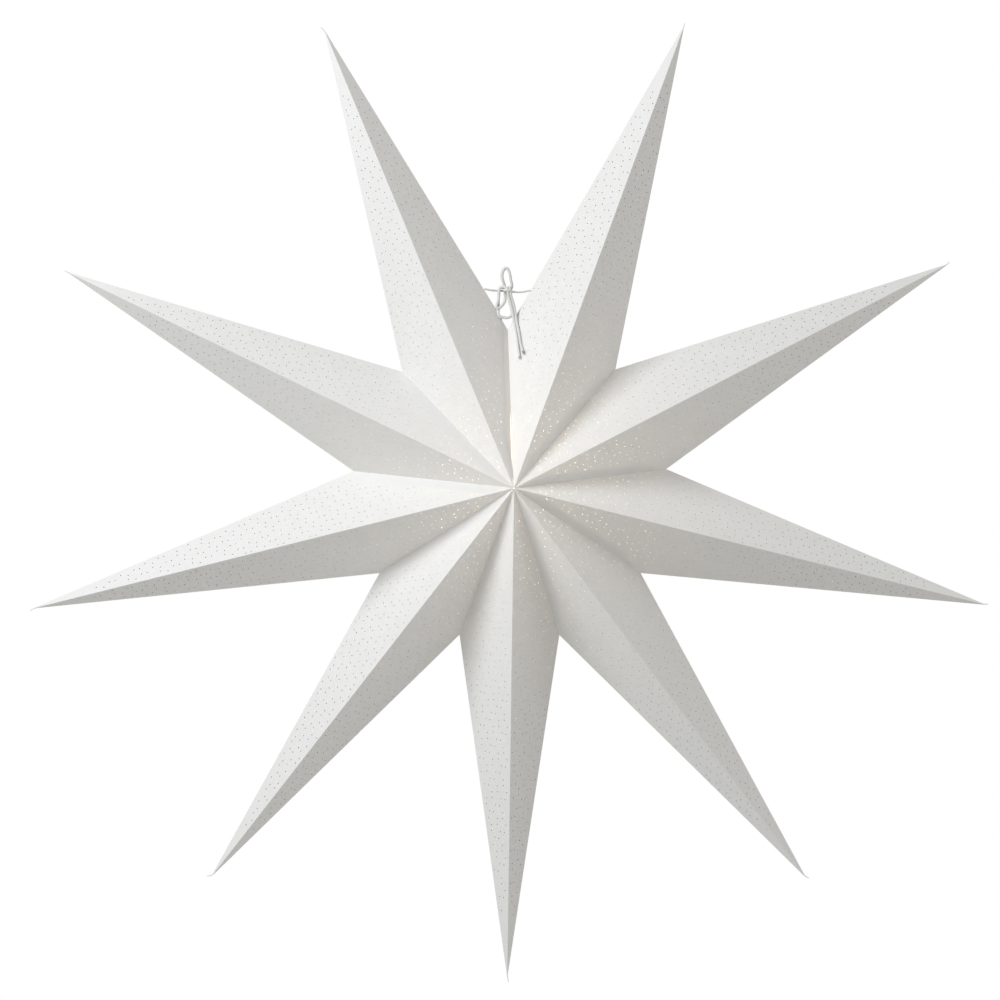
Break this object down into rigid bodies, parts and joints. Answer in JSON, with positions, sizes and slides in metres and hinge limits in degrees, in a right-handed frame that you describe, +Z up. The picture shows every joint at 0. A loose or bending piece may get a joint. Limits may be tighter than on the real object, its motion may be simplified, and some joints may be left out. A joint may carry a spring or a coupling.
{
  "type": "paper advent star",
  "caption": "Hollow folded star of white perforated card that spreads light through its pricked holes, with a tied seam that leads a lamp inside and cotton strings to hang it by.",
  "frame": {"origin": "the place where the two strings are tied above the star, which is the point it hangs from", "axes": "+Z up, the front of the star looks along -Y, +X to the right as seen from the front; the hub's centre is straight below the origin"},
  "size_m": [0.9677, 0.1598, 0.967],
  "materials": {
    "card": "matte",
    "cotton": "matte"
  },
  "bodies": {
    "root": {"point_1": "card", "point_2": "card", "point_3": "card", "point_4": "card", "point_5": "card", "point_6": "card", "point_7": "card", "point_8": "card", "point_9": "card", "left_string": "cotton", "right_string": "cotton"}
  },
  "joints": []
}
